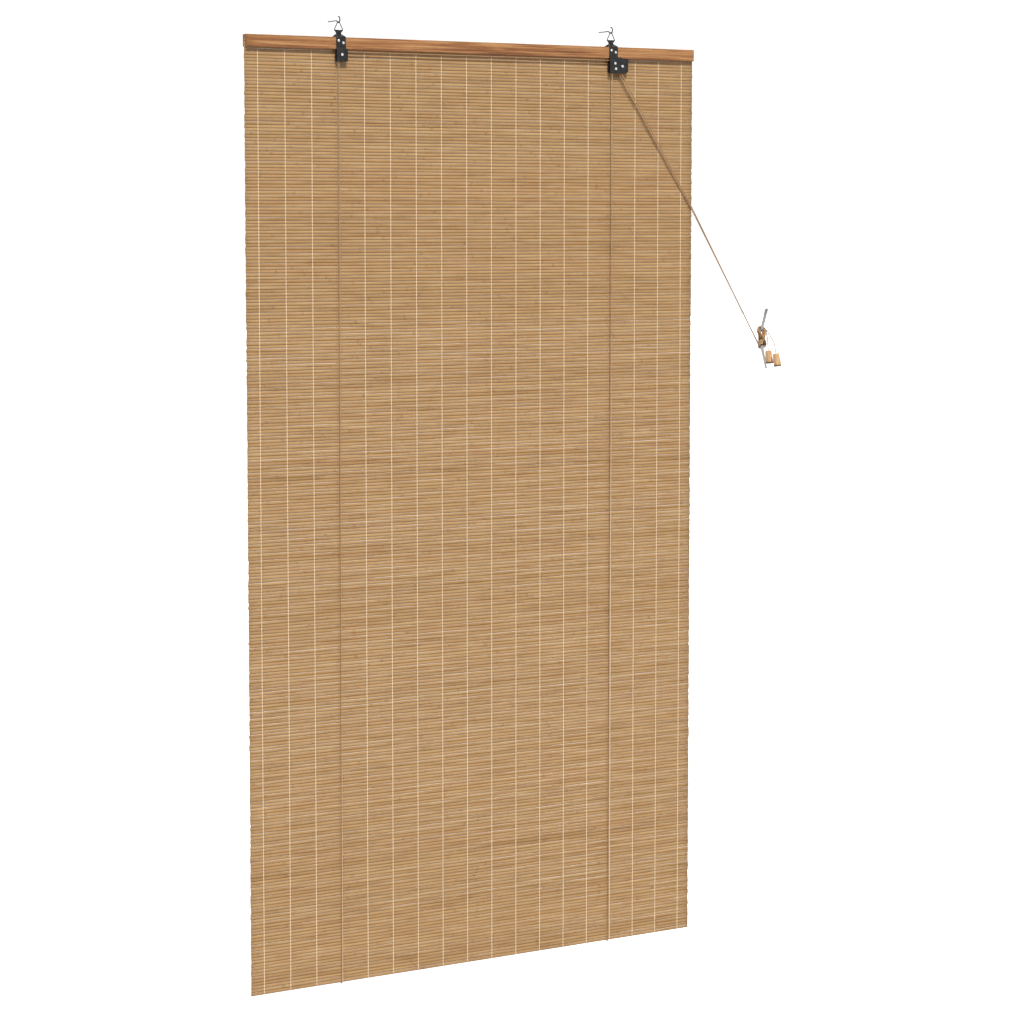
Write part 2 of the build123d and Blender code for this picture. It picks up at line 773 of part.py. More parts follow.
# The figure-eight winding on the cleat, as one closed outer shape that the strip passes through.
wrap_out = 14.3
wrap_outline = [
    (0, 30.0), (7.0, 30.0), (11.5, 24.0), (13.6, 15.0), (12.0, 2.0),
    (13.6, -11.0), (11.5, -24.0), (7.0, -31.0), (0, -31.0),
]
with BuildPart() as cord_wrap:
    with BuildSketch(Plane.XZ.offset(wrap_out)):
        Polygon(*[(cleat_x + r, -cleat_drop + z) for r, z in wrap_outline], align=None)
    revolve(axis=Axis((cleat_x, -wrap_out, 0), (0, 0, 1)))
    add(cleat_body(soft_clearance), mode=Mode.SUBTRACT)
    with BuildSketch(Plane.XZ.offset(cleat_strip)):
        with Locations(*[(cleat_x, z) for z in cleat_screw_zs]):
            Circle(cleat_screw_head_radius + soft_clearance)
    extrude(amount=cleat_screw_head_height + soft_clearance, mode=Mode.SUBTRACT)
save(cord_wrap.part, "cord_wrap")

edge_radii = {1: edge_turn_radius}
cord_tube("long_pull_cord", [long_exit, long_edge, long_arrival], edge_radii, [cord_wrap.part])
cord_tube("short_pull_cord", [short_exit, short_edge, short_arrival], edge_radii, [cord_wrap.part])


# ---- cord knobs ---------------------------------------------------------------------------
def cord_knob(number, top, up, route):
    """A turned wooden knob on the end of a cord, which passes down it to a knot in its pocket."""
    up = Vector(up).normalized()
    top = Vector(top)
    level = Plane(origin=top, z_dir=up)
    section = Plane(origin=top, x_dir=level.x_dir, z_dir=level.x_dir.cross(up))
    ceiling = knob_height - knob_pocket_depth
    hole = cord_radius + 0.15
    with BuildPart() as knob:
        with BuildSketch(section) as profile:
            Polygon(
                (hole, 0),
                (knob_top_radius, 0),
                (knob_base_radius, -knob_height),
                (knob_pocket_radius, -knob_height),
                (knob_pocket_radius, -ceiling),
                (hole, -ceiling),
                align=None,
            )
            outer = profile.vertices().sort_by(Axis.Y)
            fillet([v for v in outer if abs(v.X) > knob_pocket_radius + 0.1], 1.2)
        revolve(axis=Axis(top, up))
    save(knob.part, f"cord_knob_{number}")
    with BuildPart() as knot:
        with BuildSketch(level.offset(-ceiling - 0.1)):
            Circle(knob_pocket_radius - 0.8)
        extrude(amount=-6.0)
        fillet(knot.edges().filter_by(GeomType.CIRCLE), 1.4)
    save(knot.part, f"knob_knot_{number}")
    points = route + [tuple(top + up * 12.0), tuple(top - up * (ceiling + 0.1))]
    cord_tube(f"knob_cord_{number}", points, {}, [cord_wrap.part])


long_tail = [by_cleat(8.0, 13.0, 16.0), by_cleat(16.5, 15.5, 11.0), by_cleat(18.0, 17.5, -2.0)]
short_tail = [
    by_cleat(6.0, 20.0, 18.0),
    by_cleat(14.0, 27.0, 15.0),
    by_cleat(19.5, 32.0, 3.0),
    by_cleat(21.0, 35.5, -12.0),
]
cord_knob(1, by_cleat(16.8, 15.5, -33.0), (-0.09, 0.04, 1.0), long_tail)
cord_knob(2, by_cleat(23.0, 40.0, -39.5), (-0.13, 0.08, 1.0), short_tail)
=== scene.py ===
"""Bamboo roll-up blind: finishes, slats, threads, cords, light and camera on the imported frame.

Metres. X runs along the rail, +Y points into the wall and +Z up.
"""

import json
import math

import bpy
import numpy as np
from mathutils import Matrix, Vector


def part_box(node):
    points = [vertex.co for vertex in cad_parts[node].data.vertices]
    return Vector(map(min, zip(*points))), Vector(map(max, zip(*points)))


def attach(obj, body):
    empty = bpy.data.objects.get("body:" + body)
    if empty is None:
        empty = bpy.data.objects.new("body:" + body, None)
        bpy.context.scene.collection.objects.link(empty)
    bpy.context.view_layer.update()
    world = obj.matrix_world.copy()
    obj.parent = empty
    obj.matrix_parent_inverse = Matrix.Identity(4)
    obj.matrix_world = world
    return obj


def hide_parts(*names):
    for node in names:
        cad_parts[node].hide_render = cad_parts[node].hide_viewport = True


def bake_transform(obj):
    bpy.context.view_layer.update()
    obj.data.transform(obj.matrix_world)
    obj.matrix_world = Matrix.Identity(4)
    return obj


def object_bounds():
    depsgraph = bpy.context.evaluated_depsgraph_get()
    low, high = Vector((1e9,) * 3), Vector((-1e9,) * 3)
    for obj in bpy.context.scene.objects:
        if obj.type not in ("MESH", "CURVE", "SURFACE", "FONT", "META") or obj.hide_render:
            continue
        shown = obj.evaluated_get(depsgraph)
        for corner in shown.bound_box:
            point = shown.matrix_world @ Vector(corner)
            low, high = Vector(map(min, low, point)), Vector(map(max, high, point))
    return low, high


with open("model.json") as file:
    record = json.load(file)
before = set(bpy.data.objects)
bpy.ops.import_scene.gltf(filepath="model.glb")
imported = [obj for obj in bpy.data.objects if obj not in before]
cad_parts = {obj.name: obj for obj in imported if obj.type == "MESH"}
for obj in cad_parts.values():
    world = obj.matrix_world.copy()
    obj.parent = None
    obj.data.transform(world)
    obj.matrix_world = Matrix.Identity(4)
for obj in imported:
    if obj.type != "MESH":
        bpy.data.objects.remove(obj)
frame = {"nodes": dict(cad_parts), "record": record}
cad_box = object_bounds()
cad = frame["nodes"]
scene = bpy.context.scene
rng = np.random.default_rng(7)
MM = 0.001

# ---- sizes of the mat and places on it ------------------------------------------------------
mat_low, mat_high = (np.array(corner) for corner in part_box("bamboo_slats"))
mat_y = (mat_low[1] + mat_high[1]) / 2
RAIL_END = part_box("front_batten")[1][0]
ROWS = 295
CAD_SLAT_WIDTH = 7.13 * MM
SLAT_WIDTH = 7.36 * MM
SLAT_THICKNESS = 1.9 * MM
SLAT_PITCH = (mat_high[2] - mat_low[2] - CAD_SLAT_WIDTH) / (ROWS - 1)
WARPS = 18
WARP_PITCH = 66.8 * MM
CORD = 2.4 * MM
HIDDEN_ROWS = 3

cleat_low, cleat_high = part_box("cleat")
cleat_x = (cleat_low[0] + cleat_high[0]) / 2
CLEAT_Z = -753.5 * MM


# ---- finishes -------------------------------------------------------------------------------
def put(tree, socket, value):
    """Feeds a socket with a number, a colour or vector, or another socket."""
    if isinstance(value, Value):
        tree.links.new(value.socket, socket)
    elif isinstance(value, (tuple, list)) and len(value) == 3 and socket.type == "RGBA":
        socket.default_value = (*value, 1.0)
    else:
        socket.default_value = value


class Value:
    """A shader socket. Arithmetic on it adds Math nodes."""

    def __init__(self, tree, socket):
        self.tree = tree
        self.socket = socket

    def math(self, operation, *values):
        node = self.tree.nodes.new("ShaderNodeMath")
        node.operation = operation
        for socket, value in zip(node.inputs, values):
            put(self.tree, socket, value)
        return Value(self.tree, node.outputs[0])

    def __add__(self, other):
        return self.math("ADD", self, other)

    def __radd__(self, other):
        return self.math("ADD", other, self)

    def __sub__(self, other):
        return self.math("SUBTRACT", self, other)

    def __rsub__(self, other):
        return self.math("SUBTRACT", other, self)

    def __mul__(self, other):
        return self.math("MULTIPLY", self, other)

    def __abs__(self):
        return self.math("ABSOLUTE", self)

    def sine(self):
        return self.math("SINE", self)

    def fraction(self):
        return self.math("FRACT", self)

    def above(self, limit):
        return self.math("GREATER_THAN", self, limit)

    def most(self, other):
        return self.math("MAXIMUM", self, other)


class Finish:
    """One material: a Principled shader whose sockets are fed by expressions."""

    def __init__(self, name, **constants):
        self.material = bpy.data.materials.new(name)
        self.material.use_nodes = True
        self.tree = self.material.node_tree
        self.shader = self.tree.nodes["Principled BSDF"]
        for socket, value in constants.items():
            put(self.tree, self.shader.inputs[socket.replace("_", " ")], value)

    def make(self, kind, settings, values, output=0):
        """Any node: its type, its settings, then what feeds its sockets."""
        node = self.tree.nodes.new(kind)
        for key, value in settings.items():
            if key == "stops":
                while len(node.color_ramp.elements) < len(value):
                    node.color_ramp.elements.new(0.5)
                for element, (position, shade) in zip(node.color_ramp.elements, value):
                    element.position = position
                    element.color = (*shade, 1.0)
            else:
                setattr(node, key, value)
        for key, value in values.items():
            put(self.tree, node.inputs[key], value)
        return Value(self.tree, node.outputs[output])

    def place(self):
        """Object coordinates."""
        return self.make("ShaderNodeTexCoord", {}, {}, "Object")

    def uv(self):
        """The piece's own UV map."""
        return self.make("ShaderNodeTexCoord", {}, {}, "UV")

    def axes(self, vector):
        """The three parts of a vector."""
        first = self.make("ShaderNodeSeparateXYZ", {}, {0: vector})
        return [Value(self.tree, part) for part in first.socket.node.outputs]

    def stretch(self, vector, scale):
        """A vector times (sx, sy, sz)."""
        return self.make("ShaderNodeVectorMath", {"operation": "MULTIPLY"}, {0: vector, 1: scale})

    def noise(self, vector, scale, detail=3.0, distortion=0.0):
        """Soft noise from 0 to 1."""
        values = {"Vector": vector, "Scale": scale, "Detail": detail, "Distortion": distortion}
        return self.make("ShaderNodeTexNoise", {}, values)

    def between(self, factor, low, high):
        """0 below low, 1 above high, straight between them."""
        return self.make("ShaderNodeMapRange", {}, {0: factor, 1: low, 2: high})

    def mix(self, factor, first, second):
        """A colour from first to second."""
        values = {0: factor, 6: first, 7: second}
        return self.make("ShaderNodeMix", {"data_type": "RGBA"}, values, 2)

    def ramp(self, factor, *stops):
        """A colour picked along a ramp."""
        return self.make("ShaderNodeValToRGB", {"stops": stops}, {0: factor})

    def surface(self, colour=None, roughness=None, height=None, depth=0.0):
        """Feeds the shader. height is a bump, depth its size in metres."""
        if colour is not None:
            put(self.tree, self.shader.inputs["Base Color"], colour)
        if roughness is not None:
            put(self.tree, self.shader.inputs["Roughness"], roughness)
        if height is not None:
            values = {"Height": height, "Distance": depth, "Strength": 1.0}
            bump = self.make("ShaderNodeBump", {}, values)
            put(self.tree, self.shader.inputs["Normal"], bump)
        return self.material


def colour(red, green, blue):
    """Linear colour from the 0 to 255 numbers of a screen colour."""
    levels = np.array([red, green, blue]) / 255
    linear = np.where(levels > 0.04045, ((levels + 0.055) / 1.055) ** 2.4, levels / 12.92)
    return tuple(float(v) for v in linear)


def bamboo_finish():
    """Split bamboo: a tone for each slat, streaks along it, fine fibres, dark node rings, and painted
    shade along each slat's lower and upper edges.
    """
    finish = Finish("bamboo", Specular_IOR_Level=0.3)
    along, row, _ = finish.axes(finish.uv())
    tone = finish.make("ShaderNodeAttribute", {"attribute_name": "slat_tone"}, {}, "Color")
    tone_red, tone_green, across = finish.axes(tone)
    place = finish.place()
    lengthwise = finish.make("ShaderNodeCombineXYZ", {}, {0: along * 11.0, 1: row * 91.0, 2: 0.0})
    drift = finish.noise(lengthwise, 1.0, 4.0)
    fibres = finish.noise(finish.stretch(place, (14.0, 900.0, 1500.0)), 1.0, 4.0)
    shade = tone_red * 0.14 + drift * 0.5 + fibres * 0.42 - 0.03
    skin = finish.ramp(
        shade,
        (0.1, colour(126, 91, 54)),
        (0.36, colour(160, 124, 80)),
        (0.52, colour(181, 145, 98)),
        (0.72, colour(198, 165, 117)),
        (0.95, colour(216, 189, 143)),
    )
    warm = finish.mix(tone_green * 0.22, skin, colour(196, 140, 88))
    ring_place = abs((along * 2.9 + row * 7.0).fraction() - 0.5)
    ring = 1.0 - finish.between(ring_place, 0.004, 0.014)
    patches = finish.noise(finish.stretch(place, (90.0, 300.0, 700.0)), 1.0, 2.0)
    broken = finish.between(patches, 0.42, 0.62)
    ringed = finish.mix(ring * broken * 0.6, warm, colour(118, 78, 44))
    dash = finish.noise(finish.stretch(place, (26.0, 300.0, 420.0)), 1.0, 2.0)
    marked = finish.mix(finish.between(dash, 0.62, 0.74) * 0.4, ringed, colour(142, 98, 58))
    # Painted shade: each slat's lower edge is darkened as if in shade, and its upper edge is darkened
    # to dim its highlight.
    painted_lower_shade = finish.between(across, 0.44, 0.1)
    painted_upper_shade = finish.between(across, 0.8, 1.0)
    painted_edge_shade = painted_lower_shade * 0.5 + painted_upper_shade * 0.3
    # split is the colour with this painted edge shade on it.
    split = finish.mix(painted_edge_shade * (0.75 + fibres * 0.4), marked, colour(104, 72, 40))
    height = fibres * 0.5 + ring * 0.8
    return finish.surface(split, 0.5 + fibres * 0.3, height, 0.0002)


def thread_finish():
    """Pale cotton thread, its plies twisting round it."""
    finish = Finish("warp_thread", Specular_IOR_Level=0.2, Sheen_Weight=0.25)
    around, along, _ = finish.axes(finish.uv())
    ply = ((around + along * 620.0) * 2 * math.pi * 2).sine() * 0.5 + 0.5
    fuzz = finish.noise(finish.place(), 2600.0, 2.0)
    shade = finish.mix(ply * 0.6 + fuzz * 0.4, colour(222, 190, 146), colour(250, 232, 200))
    return finish.surface(shade, 0.86, ply + fuzz * 0.6, 0.00012)


def rail_finish():
    """Stained softwood: long grain lines, soft cloudy stain, pores, and ringed sawn ends."""
    finish = Finish("rail_wood", Specular_IOR_Level=0.4, Coat_Roughness=0.3)
    place = finish.place()
    x, _, _ = finish.axes(place)
    cloud = finish.noise(finish.stretch(place, (5.0, 30.0, 40.0)), 1.0, 2.0)
    grain = finish.noise(finish.stretch(place, (7.0, 260.0, 320.0)), 1.0, 5.0, 0.6)
    pores = finish.noise(finish.stretch(place, (60.0, 1900.0, 2100.0)), 1.0, 3.0)
    shade = grain * 0.86 + cloud * 0.3 + pores * 0.24 - 0.2
    wood = finish.ramp(
        shade,
        (0.26, colour(96, 52, 22)),
        (0.42, colour(142, 90, 48)),
        (0.56, colour(176, 124, 76)),
        (0.76, colour(208, 160, 108)),
    )
    growth = finish.noise(finish.stretch(place, (0.0, 120.0, 70.0)), 1.0, 1.0)
    rings = (growth * 60.0).sine() * 0.5 + 0.5
    end_wood = finish.mix(rings * 0.7, colour(178, 120, 70), colour(126, 78, 40))
    sawn = abs(x).above(RAIL_END - 0.05 * MM)
    stained = finish.mix(sawn, wood, end_wood)
    return finish.surface(stained, 0.4 + grain * 0.2 + sawn * 0.2, grain * 0.6 + pores * 0.4, 0.00025)


def painted_finish(name, low, high, roughness, metallic=0.0):
    """Stoved paint or a dark plated skin on steel: an even colour, faint orange peel and dusty rubs."""
    finish = Finish(name, Metallic=metallic, Specular_IOR_Level=0.25)
    place = finish.place()
    rub = finish.noise(finish.stretch(place, (120.0, 90.0, 160.0)), 1.0, 4.0)
    peel = finish.noise(place, 1300.0, 2.0)
    worn = finish.between(rub, 0.35, 0.75)
    shade = finish.mix(worn, low, high)
    return finish.surface(shade, roughness + worn * 0.16, peel + rub * 0.5, 0.00006)


def bright_finish(name, low, high, roughness):
    """Bright metal with fine turned or drawn marks and a little tarnish."""
    finish = Finish(name, Metallic=1.0)
    place = finish.place()
    lines = finish.noise(finish.stretch(place, (900.0, 900.0, 2600.0)), 1.0, 3.0)
    tarnish = finish.noise(place, 260.0, 3.0)
    shade = finish.mix(tarnish * 0.6 + lines * 0.4, low, high)
    return finish.surface(shade, roughness + tarnish * 0.2, lines, 0.00003)


def roller_finish():
    """Moulded nylon: near-black, a satin skin with faint flow marks."""
    finish = Finish("roller_plastic", Specular_IOR_Level=0.45)
    place = finish.place()
    flow = finish.noise(finish.stretch(place, (300.0, 120.0, 300.0)), 1.0, 3.0, 1.2)
    shade = finish.mix(flow, colour(30, 30, 31), colour(58, 57, 56))
    return finish.surface(shade, 0.4 + flow * 0.2, finish.noise(place, 2400.0, 1.0), 0.00004)


def cord_finish():
    """Braided cord: two families of strands crossing round it, tan with darker yarns."""
    finish = Finish("cord", Specular_IOR_Level=0.25, Sheen_Weight=0.3)
    around, along, _ = finish.axes(finish.uv())
    right = ((around * 4.0 + along * 330.0) * 2 * math.pi).sine()
    left = ((around * 4.0 - along * 330.0) * 2 * math.pi).sine()
    strands = right.most(left) * 0.5 + 0.5
    fuzz = finish.noise(finish.place(), 1900.0, 2.0)
    fleck = finish.between((around * 2.0 + along * 165.0).fraction(), 0.72, 0.78)
    tan = finish.mix(strands * 0.6 + fuzz * 0.4, colour(98, 60, 30), colour(214, 170, 122))
    shade = finish.mix(fleck * 0.22, tan, colour(84, 42, 16))
    return finish.surface(shade, 0.84, strands + fuzz * 0.5, 0.00025)


def cleat_finish():
    """Zinc-plated steel strip: brushed grey with dull patches, darker towards the upper tip."""
    finish = Finish("cleat_steel", Metallic=0.75)
    place = finish.place()
    _, _, z = finish.axes(place)
    lines = finish.noise(finish.stretch(place, (2200.0, 500.0, 60.0)), 1.0, 3.0)
    patch = finish.noise(place, 140.0, 4.0)
    # Darker towards the upper tip: dull holds this darkening of the colour, not a duller finish.
    upper = finish.between(z, CLEAT_Z + 0.02, CLEAT_Z + 0.078)
    shade = finish.mix(patch * 0.5 + lines * 0.5, colour(120, 119, 117), colour(190, 190, 188))
    dull = finish.mix(upper * 0.75, shade, colour(62, 60, 58))
    return finish.surface(dull, 0.34 + patch * 0.22, lines, 0.00005)


def knob_finish():
    """Light turned wood under clear varnish: growth lines, fine turning rings and a painted shade band
    along the base edge.
    """
    finish = Finish("knob_wood", Specular_IOR_Level=0.5, Coat_Weight=0.25, Coat_Roughness=0.2)
    place = finish.place()
    grain = finish.noise(finish.stretch(place, (420.0, 420.0, 45.0)), 1.0, 4.0, 0.8)
    fine = finish.noise(finish.stretch(place, (1800.0, 1800.0, 160.0)), 1.0, 2.0)
    turned = finish.noise(finish.stretch(place, (30.0, 30.0, 3200.0)), 1.0, 1.0)
    shade = finish.ramp(
        grain * 0.75 + fine * 0.25,
        (0.3, colour(176, 124, 74)),
        (0.5, colour(214, 170, 120)),
        (0.7, colour(233, 198, 152)),
    )
    _, y, z = finish.axes(place)
    nearer = finish.between(y, -0.026, -0.03)
    bases = [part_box(f"cord_knob_{number}")[0][2] for number in (1, 2)]
    base = bases[0] + nearer * (bases[1] - bases[0])
    # Painted shade: a dark band along the base of each knob.
    painted_base_shade = 1.0 - finish.between(z - base, 0.0044, 0.0072)
    base_shaded = finish.mix(painted_base_shade * 0.93, shade, colour(50, 24, 10))
    return finish.surface(base_shaded, 0.3 + fine * 0.15, turned * 0.5 + fine * 0.5, 0.00006)


finishes = {
    "bamboo": bamboo_finish(),
    "warp_thread": thread_finish(),
    "rail_wood": rail_finish(),
    "black_steel": painted_finish("black_steel", colour(19, 19, 21), colour(46, 44, 45), 0.36),
    "rivet_steel": bright_finish("rivet_steel", colour(178, 178, 176), colour(236, 236, 234), 0.16),
    "hook_steel": painted_finish("hook_steel", colour(38, 36, 34), colour(78, 73, 68), 0.3, 0.7),
    "roller_plastic": roller_finish(),
    "cam_steel": painted_finish("cam_steel", colour(70, 68, 66), colour(112, 108, 104), 0.38, 0.8),
    "cord": cord_finish(),
    "cleat_steel": cleat_finish(),
    "knob_wood": knob_finish(),
}

slot_of = {part["node"]: part["material_slot"] for part in frame["record"]["subparts"]}
for node, obj in cad.items():
    obj.data.materials.clear()
    obj.data.materials.append(finishes[slot_of[node]])


# ---- making pieces --------------------------------------------------------------------------
def piece(name, slot, body, points, quads, caps, uv):
    """A smooth mesh object from points (n, 3), quads (m, 4) and end caps, riding on a body if given.

    uv is (m, 4, 2), one pair for each corner of each quad; caps get none.
    """
    mesh = bpy.data.meshes.new(name)
    faces = quads.tolist() + [list(cap) for cap in caps]
    mesh.from_pydata(points.tolist(), [], faces)
    layer = mesh.uv_layers.new(name="grain")
    flat = np.zeros((len(mesh.loops), 2))
    flat[: quads.size] = uv.reshape(-1, 2)
    layer.data.foreach_set("uv", flat.ravel())
    mesh.polygons.foreach_set("use_smooth", np.full(len(mesh.polygons), True))
    mesh.update()
    mesh.materials.append(finishes[slot])
    obj = bpy.data.objects.new(name, mesh)
    scene.collection.objects.link(obj)
    if body:
        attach(obj, body)
    return obj


def grid_quads(stations, sides):
    """Quads of a closed tube of stations rings, each of sides points."""
    ring, side = np.meshgrid(np.arange(stations - 1), np.arange(sides), indexing="ij")
    here = ring * sides + side
    beside = ring * sides + (side + 1) % sides
    quads = np.stack([here, beside, beside + sides, here + sides], axis=-1)
    return quads.reshape(-1, 4)


def bundle(count, stations, sides):
    """Quads and end caps of count tubes, whose rings' points run the other way round."""
    size = stations * sides
    first = np.arange(count)[:, None] * size
    quads = grid_quads(stations, sides)[None, :, ::-1] + first[..., None]
    start = first + np.arange(sides)
    caps = np.stack([start, start[:, ::-1] + size - sides], axis=1)
    return quads.reshape(-1, 4), caps.reshape(-1, sides).tolist()


def tube(name, slot, body, path, radius, sides=10):
    """A round tube along a path.

    Ring i is path[i] + radius * (cos(a) * n + sin(a) * b). n and b are square to the tangent and
    turn with it: each is first made from a fixed direction, and the turn from one ring to the next
    is summed and taken off. The UV map is (share of the way round, metres along).
    """
    steps = np.diff(path, axis=0)
    tangent = np.gradient(path, axis=0)
    tangent /= np.linalg.norm(tangent, axis=1, keepdims=True)
    normal = np.cross(tangent, (0.31, 0.52, 0.79))
    normal /= np.linalg.norm(normal, axis=1, keepdims=True)
    binormal = np.cross(tangent, normal)
    ahead = tangent[1:]
    carried = normal[:-1] - ahead * np.sum(normal[:-1] * ahead, axis=1, keepdims=True)
    slip = np.arctan2(np.sum(carried * binormal[1:], axis=1), np.sum(carried * normal[1:], axis=1))
    turn = np.concatenate([[0], np.cumsum(slip)])[:, None]
    angle = 2 * math.pi * np.arange(sides) / sides + turn
    outward = np.cos(angle)[..., None] * normal[:, None] + np.sin(angle)[..., None] * binormal[:, None]
    points = path[:, None] + radius * outward
    length = np.concatenate([[0], np.cumsum(np.linalg.norm(steps, axis=1))])
    quads = grid_quads(len(path), sides)
    u = np.arange(sides)[None, :] / sides
    low, high = length[:-1, None], length[1:, None]
    u_corners = np.stack(np.broadcast_arrays(u, u + 1 / sides, u + 1 / sides, u, low)[:4], axis=-1)
    v_corners = np.stack(np.broadcast_arrays(low, low, high, high, u)[:4], axis=-1)
    uv = np.stack([u_corners, v_corners], axis=-1)
    last = (len(path) - 1) * sides
    caps = [np.arange(sides)[::-1], last + np.arange(sides)]
    return piece(name, slot, body, points.reshape(-1, 3), quads, caps, uv)


def route(points, samples=14):
    """The smooth line through a cord's control points: a NURBS spline of order 3."""
    line = bpy.data.curves.new("route", "CURVE")
    line.dimensions = "3D"
    line.resolution_u = samples
    spline = line.splines.new("NURBS")
    spline.points.add(len(points) - 1)
    spline.points.foreach_set("co", np.c_[np.array(points), np.ones(len(points))].ravel())
    spline.order_u = 3
    spline.use_endpoint_u = True
    spline.resolution_u = samples
    holder = bpy.data.objects.new("route", line)
    mesh = bpy.data.meshes.new_from_object(holder)
    path = np.empty(len(mesh.vertices) * 3)
    mesh.vertices.foreach_get("co", path)
    bpy.data.objects.remove(holder)
    bpy.data.meshes.remove(mesh)
    bpy.data.curves.remove(line)
    path = path.reshape(-1, 3)
    apart = np.linalg.norm(np.diff(path, axis=0), axis=1) > 1e-6
    return path[np.concatenate([[True], apart])]


# ---- camera ---------------------------------------------------------------------------------
lens = bpy.data.cameras.new("camera")
lens.lens = 92.55
lens.sensor_width = 36.0
lens.shift_y = -0.088
lens.clip_end = 200.0
camera = bpy.data.objects.new("camera", lens)
camera.location = (-3.0078, -5.5059, -0.4388)
camera.rotation_euler = (math.radians(90 - 4.5334), 0, -math.radians(29.526))
scene.collection.objects.link(camera)
scene.camera = camera

# ---- cords ----------------------------------------------------------------------------------
LEFT_X = -0.37
RIGHT_X = 0.3615
HEM = 0.0036  # half of the way between the front and back runs under the lower edge
long_lift_points = [
    (LEFT_X, -0.0225, -0.07195),
    (LEFT_X, -0.0270, -0.07195),
    (LEFT_X, -0.0270, -0.07645),
    (LEFT_X, mat_y + HEM, -2.23500),
    (LEFT_X, mat_y + HEM, -2.24100),
    (LEFT_X, mat_y - HEM, -2.24100),
    (LEFT_X, mat_y - HEM, -2.23500),
    (LEFT_X, -0.0477, -0.08595),
    (LEFT_X, -0.0477, -0.07155),
    (-0.3556, -0.0477, -0.07155),
    (0.3601, -0.04642, -0.0710),
    (0.3750, -0.04642, -0.0709),
    (0.3757, -0.04642, -0.09295),
    (0.38178, -0.04621, -0.10245),
]
short_lift_points = [
    (RIGHT_X, -0.0225, -0.07195),
    (RIGHT_X, -0.0270, -0.07195),
    (RIGHT_X, -0.0270, -0.07645),
    (RIGHT_X, mat_y + HEM, -2.23500),
    (RIGHT_X, mat_y + HEM, -2.24100),
    (RIGHT_X, mat_y - HEM, -2.24100),
    (RIGHT_X, mat_y - HEM, -2.23500),
    (RIGHT_X, -0.04898, -0.0843),
    (RIGHT_X, -0.04898, -0.0709),
    (0.3750, -0.04898, -0.0709),
    (0.3757, -0.04898, -0.09295),
    (0.3853, -0.04898, -0.09805),
    (0.38818, -0.04885, -0.10245),
]


def cleat_turns(pair, turns=5.75, points_per_turn=16):
    """One cord's figure-eight turns on the cleat, as control points.

    With t from -3/4 pi, and n = t / 2 pi: across = -a sin 2t - shift max(sin t, 0) and up = b sin t
    + spread cos^2 t, so the line crosses itself in front of the middle and passes behind a horn at
    the top and bottom. Its distance out from the wall is front cos^2 t + rear sin^2 t. a, b, front
    and spread grow with n as the layers build up. The second cord of the pair lies beside the first.
    """
    t = -0.75 * math.pi + 2 * math.pi * np.arange(int(turns * points_per_turn) + 1) / points_per_turn
    n = t / (2 * math.pi)
    crossing = np.cos(t) ** 2
    loop = np.sin(t) ** 2
    across = -(7.4 + 0.75 * n + 0.6 * pair) * np.sin(2 * t) - 3.4 * np.sin(t).clip(0)
    spread = 3.2 * np.sin(2.4 * n + 0.8) - 2.6 * pair
    up = (20.4 + 1.6 * n) * np.sin(t) + spread * crossing
    out = (5.8 + 2.9 * n + 0.8 * pair) * crossing + (5.7 + 0.4 * n - 2.5 * pair) * loop
    return np.stack([cleat_x + across * MM, -out * MM, CLEAT_Z + up * MM], axis=1).tolist()


def along(start, end, distance):
    """The point that far from start on the way to end."""
    start = np.array(start)
    way = np.array(end) - start
    return tuple(start + way * distance / np.linalg.norm(way))


def pull_points(pair, leave, edge, tail):
    """A pull cord: out of the lock, round the edge of the mat, on to the cleat, its turns and tail."""
    turns = cleat_turns(pair)
    near = 6 * CORD
    return [
        leave,
        along(edge, leave, near),
        edge,
        along(edge, turns[0], near),
        along(turns[0], edge, near),
        *turns,
        *tail,
    ]


long_pull_points = pull_points(
    0,
    (0.38178, -0.04621, -0.10245),
    (0.6016, -0.0396, -0.4344),
    [
        (0.8440, -0.0150, -0.7440),
        (0.8470, -0.0160, -0.7560),
        (0.84873, -0.01502, -0.77456),
        (0.8498, -0.0155, -0.7865),
        (0.8516, -0.0163, -0.8065),
    ],
)
short_pull_points = pull_points(
    1,
    (0.38818, -0.04885, -0.10245),
    (0.6016, -0.0396, -0.4282),
    [
        (0.8425, -0.0205, -0.7365),
        (0.8475, -0.0275, -0.7495),
        (0.8540, -0.0355, -0.7655),
        (0.85446, -0.03905, -0.78114),
        (0.8560, -0.0400, -0.7930),
        (0.85858, -0.04159, -0.81287),
    ],
)


def knot(name, body, node, centre, axis, radius):
    """An overhand knot pulled tight: a tube along an open trefoil.

    With t from 0.3 to 2 pi - 0.3 and a = radius less half the cord, its path is centre
    + a ((sin t + 2 sin 2t) u + (cos t - 2 cos 2t) v) / 3 - 0.6 a sin 3t w. w is the cord's
    direction, and u and v are square to it.
    """
    w = np.array(axis) / np.linalg.norm(axis)
    u = np.cross(w, (0.28, 0.9, 0.33))
    u /= np.linalg.norm(u)
    v = np.cross(w, u)
    t = np.linspace(0.3, 2 * math.pi - 0.3, 96)[:, None]
    lobes = (np.sin(t) + 2 * np.sin(2 * t)) * u + (np.cos(t) - 2 * np.cos(2 * t)) * v
    path = np.array(centre) + (radius - CORD / 2) * (lobes / 3 - 0.6 * np.sin(3 * t) * w)
    obj = tube(name, "cord", body, path, CORD / 2)
    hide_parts(node)
    return obj


for name, x in (("left_lift_knot", LEFT_X), ("right_lift_knot", RIGHT_X)):
    knot(name, "blind", "lift_cord_knots", (x, -0.0201, -0.07195), (0, 1, 0), 3.9 * MM)

